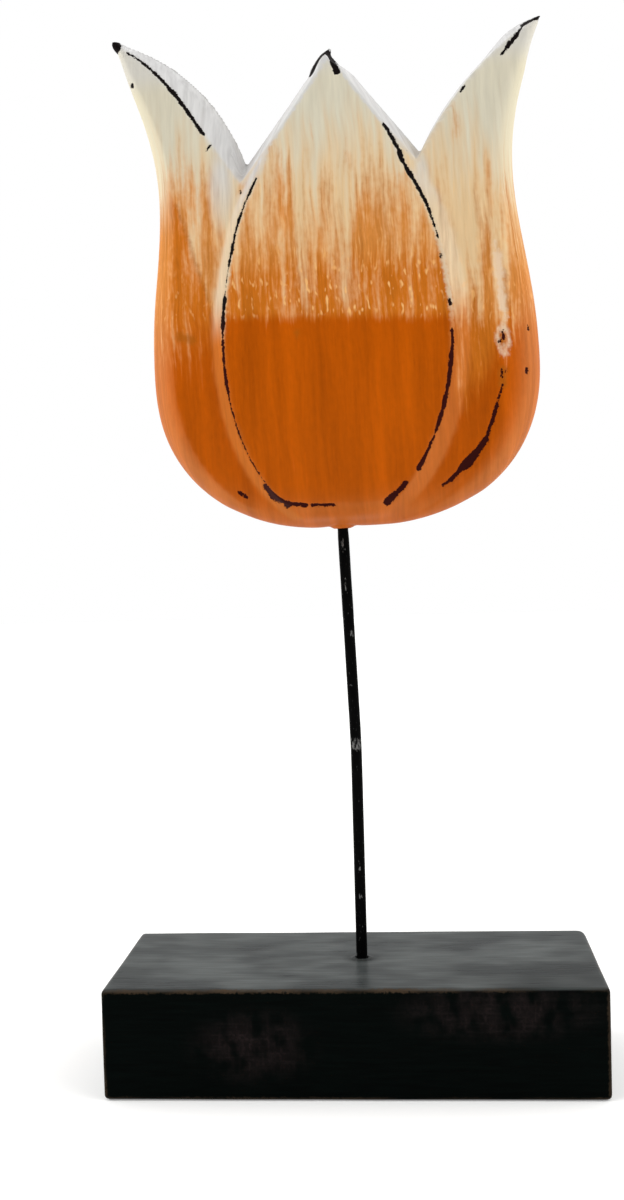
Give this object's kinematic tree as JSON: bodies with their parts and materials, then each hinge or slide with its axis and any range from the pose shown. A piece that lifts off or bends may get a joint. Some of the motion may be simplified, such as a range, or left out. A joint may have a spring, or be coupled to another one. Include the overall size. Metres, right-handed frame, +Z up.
{
  "type": "wooden tulip ornament on a stand",
  "caption": "Carved and painted wooden tulip bloom, orange fading to cream, on a thin bent steel stem set in a black wooden block; a free-standing shelf ornament.",
  "frame": {"origin": "middle of the base block's underside", "axes": "+Z up, along the stem; +X to the right seen from the front; -Y towards the viewer"},
  "size_m": [0.1416, 0.0616, 0.3052],
  "materials": {
    "base_paint": "black paint on wood, satin, rubbed through along the edges",
    "stem_paint": "black paint on steel rod, semi-gloss, a few scuffs",
    "flower_paint": "orange paint dry-brushed with cream towards the tips, arrises rubbed through to a dark undercoat"
  },
  "bodies": {
    "stand": {"base_block": "base_paint", "stem_rod": "stem_paint"},
    "flower": {"tulip_head": "flower_paint"}
  },
  "joints": [
    {"name": "flower_turn", "type": "hinge", "parent": "stand", "child": "flower", "pos_m": [-0.00087, 0, 0.15976], "axis": [-0.0366, 0, 0.9993], "continuous": true}
  ]
}
